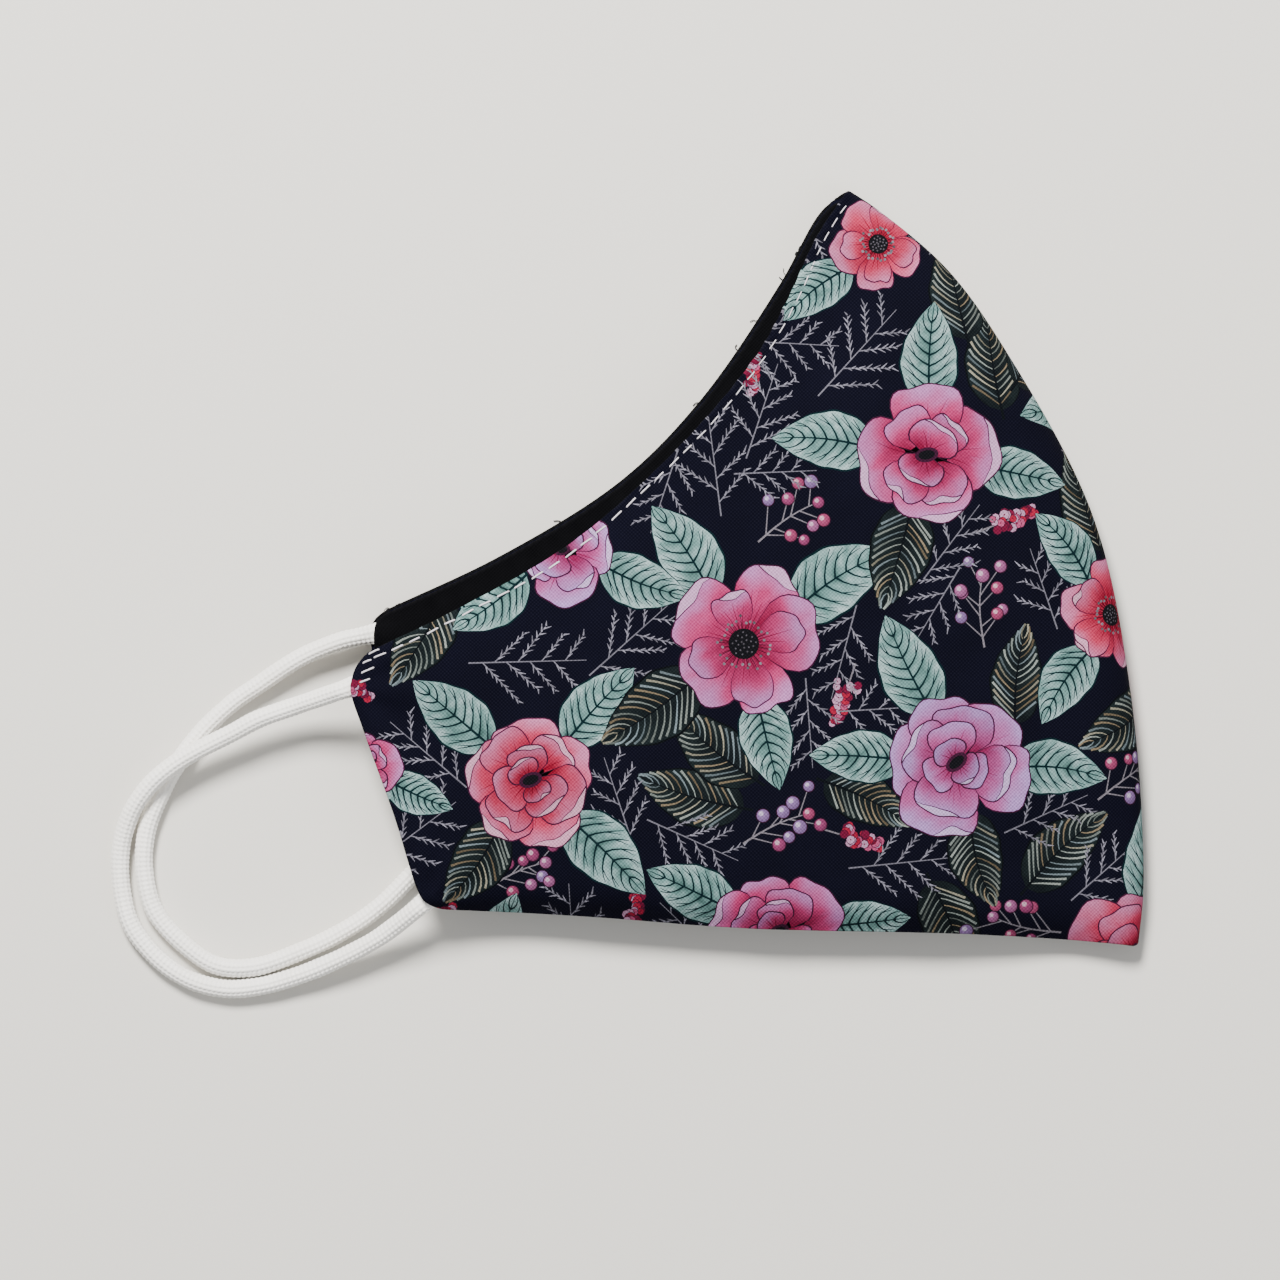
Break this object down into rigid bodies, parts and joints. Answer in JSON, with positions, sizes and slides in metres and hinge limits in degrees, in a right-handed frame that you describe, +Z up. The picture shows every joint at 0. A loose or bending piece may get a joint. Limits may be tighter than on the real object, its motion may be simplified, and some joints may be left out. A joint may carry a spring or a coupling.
{
  "type": "cloth face mask",
  "caption": "Fitted cloth face mask, folded along its centre seam and lying on its side, with a flower print outside, a plain black lining and round elastic ear loops.",
  "frame": {"origin": "on the surface that the mask lies on, below the middle of its cloth", "axes": "+X from the ear edges to the centre seam, +Y towards the tip of the nose, +Z up out of the surface"},
  "size_m": [0.1766, 0.1382, 0.014],
  "materials": {
    "printed_cotton": "matt cotton with a printed flower pattern on midnight blue",
    "black_cotton": "matt black cotton",
    "white_elastic": "round knitted elastic with a soft satin shine"
  },
  "bodies": {
    "root": {"outer_near": "printed_cotton", "lining_near": "black_cotton", "outer_far": "printed_cotton", "lining_far": "black_cotton", "ear_loop_near": "white_elastic", "ear_loop_far": "white_elastic"}
  },
  "joints": []
}
